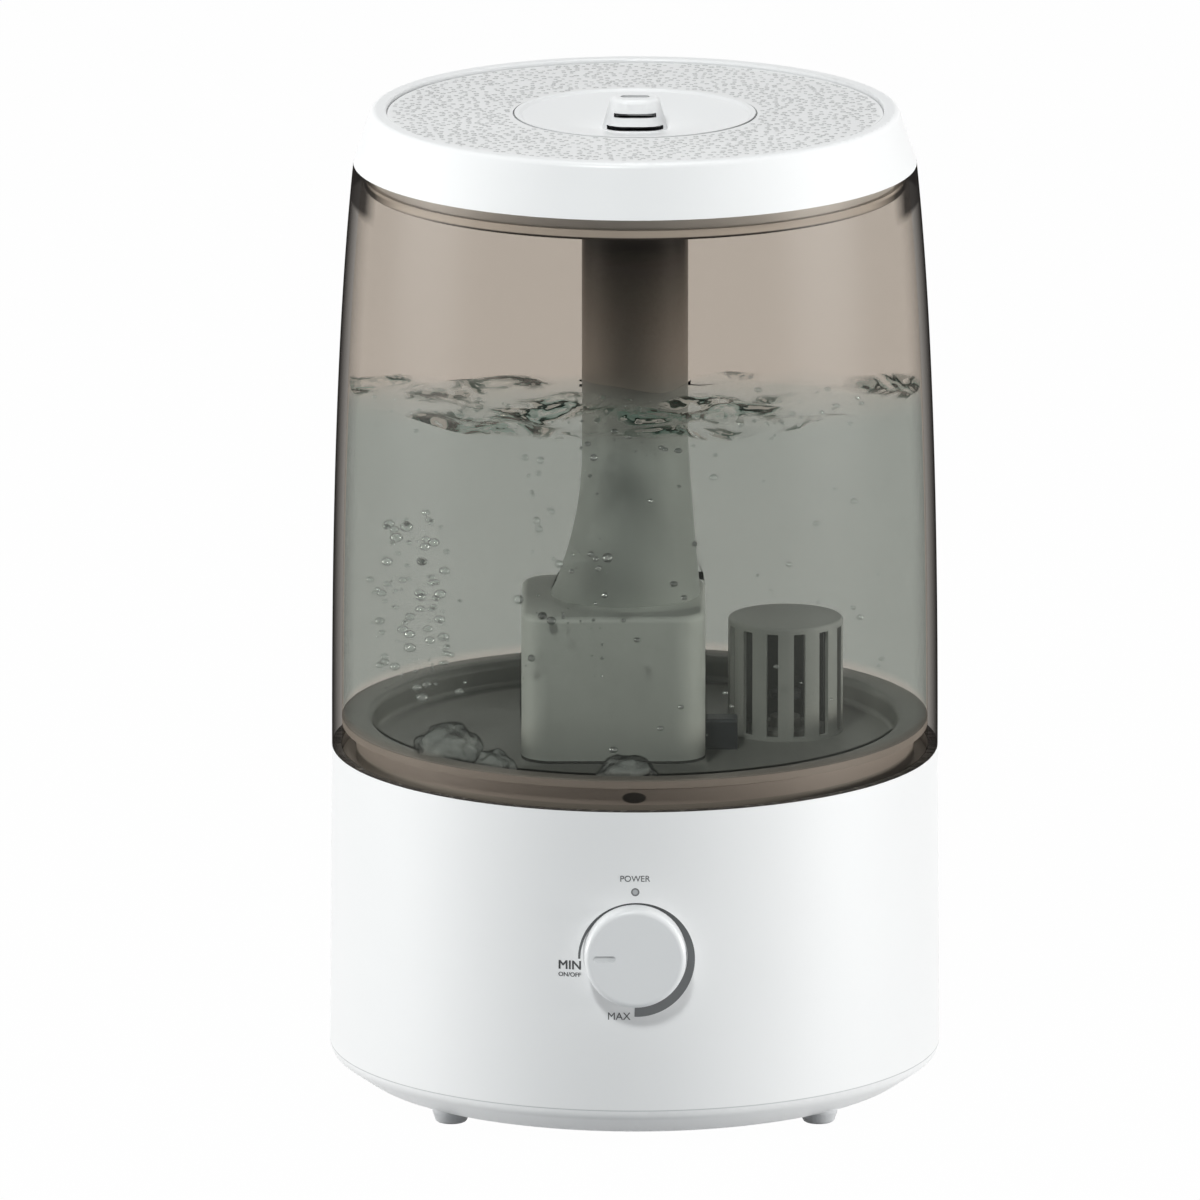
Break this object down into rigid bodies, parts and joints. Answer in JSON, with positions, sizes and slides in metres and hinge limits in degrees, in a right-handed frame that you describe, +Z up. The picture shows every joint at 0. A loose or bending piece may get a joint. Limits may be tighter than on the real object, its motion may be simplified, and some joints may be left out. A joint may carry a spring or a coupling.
{
  "type": "cool mist humidifier",
  "caption": "Free-standing ultrasonic cool mist humidifier: white base with a control knob, lift-off smoked water tank, lift-off top-fill lid with a turning mist outlet.",
  "frame": {"origin": "centre of the plane that the feet stand on, on the axis of the round body; the bounding box's centre lies 2.9 mm in front of it, because only the knob stands proud of the round", "axes": "+Z up; the control knob faces -Y; +X to the right seen from the front"},
  "size_m": [0.17, 0.1758, 0.2795],
  "materials": {
    "white": "fine satin moulding",
    "inlay": "stippled satin moulding",
    "smoke": "clear smoked polish",
    "pan": "satin moulding",
    "tube": "smoked satin moulding",
    "cage": "satin moulding",
    "dark": "dark satin moulding",
    "black": "black moulding",
    "knob": "fine satin moulding",
    "silicone": "soft dark silicone",
    "pale_silicone": "soft pale silicone",
    "rubber": "soft grey rubber",
    "steel": "zinc-plated steel",
    "aluminium": "extruded and cut",
    "brass": "plated brass",
    "copper": "enamelled copper wire",
    "ferrite": "sintered ferrite",
    "board": "coated circuit board",
    "light": "frosted clear lens",
    "float": "closed foam",
    "lead": "insulated wire"
  },
  "bodies": {
    "BASE": {"base_shell": "white", "bottom_cover": "white", "rubber_feet": "rubber", "cover_screws": "steel", "base_basin": "pan", "transducer_disc": "brass", "transducer_seal": "pale_silicone", "transducer_clamp": "black", "transducer_screws": "steel", "air_duct": "black", "fan_frame": "black", "fan_stator": "copper", "fan_screws": "steel", "float_retainer": "pan", "reed_switch": "light", "potentiometer_body": "steel", "potentiometer_nut": "steel", "control_board": "board", "power_led": "light", "light_pipe": "light", "dc_jack": "black", "dc_jack_pin": "brass", "dc_jack_nut": "black", "driver_board": "board", "board_screws": "steel", "heat_sink": "aluminium", "board_capacitors": "black", "board_inductor": "ferrite", "board_connectors": "float", "power_lead": "lead", "fan_lead": "lead", "transducer_lead": "lead", "control_lead": "lead"},
    "KNOB": {"control_knob": "knob", "potentiometer_shaft": "steel"},
    "FAN": {"fan_rotor": "black"},
    "FLOAT": {"level_float": "float", "float_magnet": "ferrite"},
    "TANK": {"tank_shell": "smoke", "tank_pan": "pan", "chamber_seal": "silicone", "mist_chamber": "cage", "mist_tube": "tube", "chamber_clip": "dark", "valve_cage": "cage", "valve_guide": "pan"},
    "VALVE": {"valve_stem": "cage", "valve_washer": "silicone", "valve_float": "float", "valve_stop": "dark"},
    "LID": {"lid_shell": "white", "lid_inlay": "inlay", "lid_seal": "pale_silicone", "mist_funnel": "white", "tube_seal": "silicone"},
    "NOZZLE": {"mist_nozzle": "white", "nozzle_retainer": "pan"}
  },
  "joints": [
    {"name": "tank_lift", "type": "slide", "parent": "BASE", "child": "TANK", "axis": [0, 0, 1], "range_m": [0, 0.1]},
    {"name": "lid_lift", "type": "slide", "parent": "TANK", "child": "LID", "axis": [0, 0, 1], "range_m": [0, 0.05]},
    {"name": "nozzle_turn", "type": "hinge", "parent": "LID", "child": "NOZZLE", "pos_m": [0, 0, 0.274], "axis": [0, 0, 1], "continuous": true},
    {"name": "knob_turn", "type": "hinge", "parent": "BASE", "child": "KNOB", "pos_m": [0, -0.085, 0.056], "axis": [0, 1, 0], "range_deg": [0, 270]},
    {"name": "fan_spin", "type": "hinge", "parent": "BASE", "child": "FAN", "pos_m": [-0.006, 0.036, 0.058], "axis": [0, 0, 1], "continuous": true},
    {"name": "float_rise", "type": "slide", "parent": "BASE", "child": "FLOAT", "axis": [0, 0, 1], "range_m": [-0.006, 0]},
    {"name": "valve_drop", "type": "slide", "parent": "TANK", "child": "VALVE", "axis": [0, 0, 1], "range_m": [-0.005, 0]}
  ]
}
